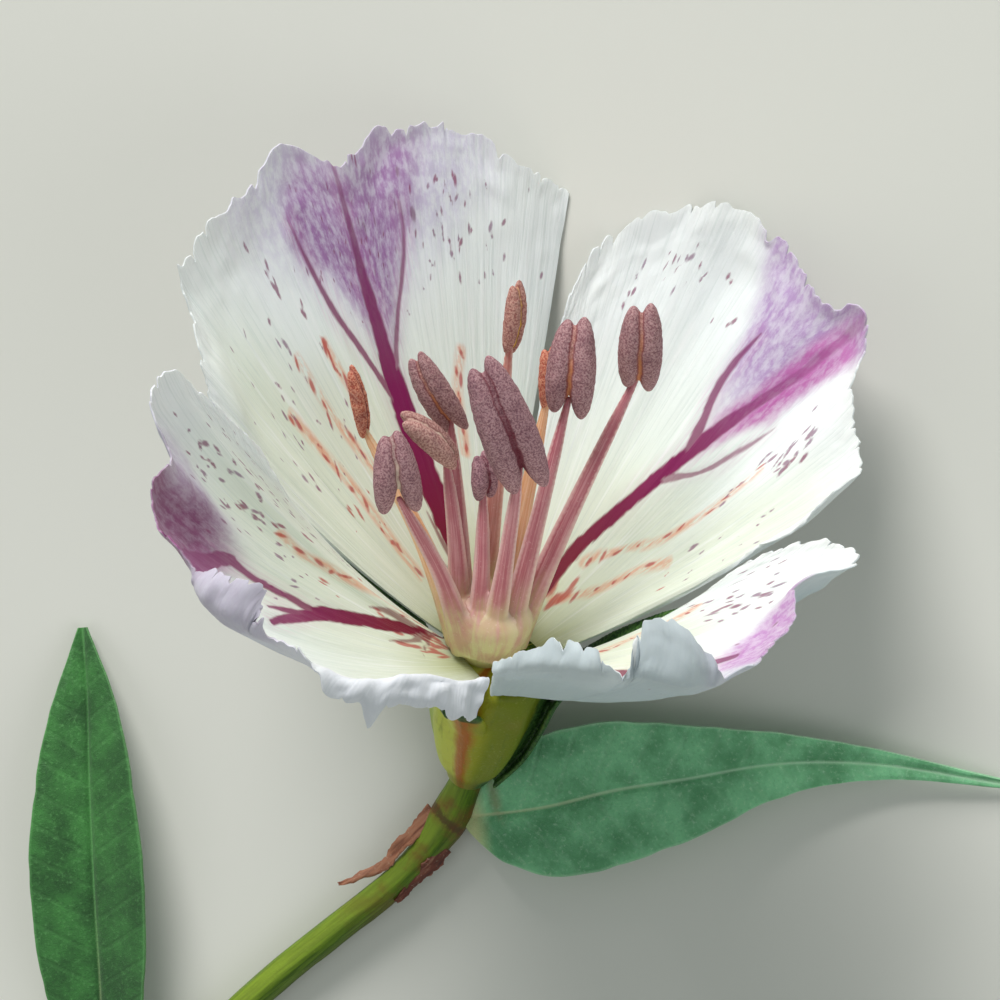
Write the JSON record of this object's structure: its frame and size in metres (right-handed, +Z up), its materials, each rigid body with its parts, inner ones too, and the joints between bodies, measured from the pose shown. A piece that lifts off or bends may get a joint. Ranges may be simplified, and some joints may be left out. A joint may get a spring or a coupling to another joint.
{
  "type": "four-petalled cut flower stem",
  "caption": "Cut flower lying on its side: fringed petals in a wide bowl round a tuft of stamens, a funnel calyx with narrow sepals, a thin jointed stem and lance-shaped leaves.",
  "frame": {"origin": "flat spot under the stem's node just below the flower, on the table's surface", "axes": "+Z up from the table; +Y along the lying stem towards the flower; +X to the right, the side of the leaf beside the flower"},
  "size_m": [0.0769, 0.1499, 0.0474],
  "materials": {
    "petal": "thin satin petal, white with magenta veins, a lilac wash and fine flecks",
    "stamen": "dusty rose filaments and granular mauve anthers on a cream cushion",
    "pistil": "pale cream, matt",
    "calyx": "yellow-green with a darker green side and an orange-brown streak",
    "stem": "green, paler along one side, with brown papery strips at the node",
    "leaf": "blue-green satin with a paler midrib"
  },
  "bodies": {
    "root": {"petal_back_left": "petal", "petal_back_right": "petal", "petal_front_left": "petal", "petal_front_right": "petal", "stamens": "stamen", "pistil": "pistil", "calyx": "calyx", "stem": "stem", "leaf_upper": "leaf", "leaf_lower": "leaf"}
  },
  "joints": []
}
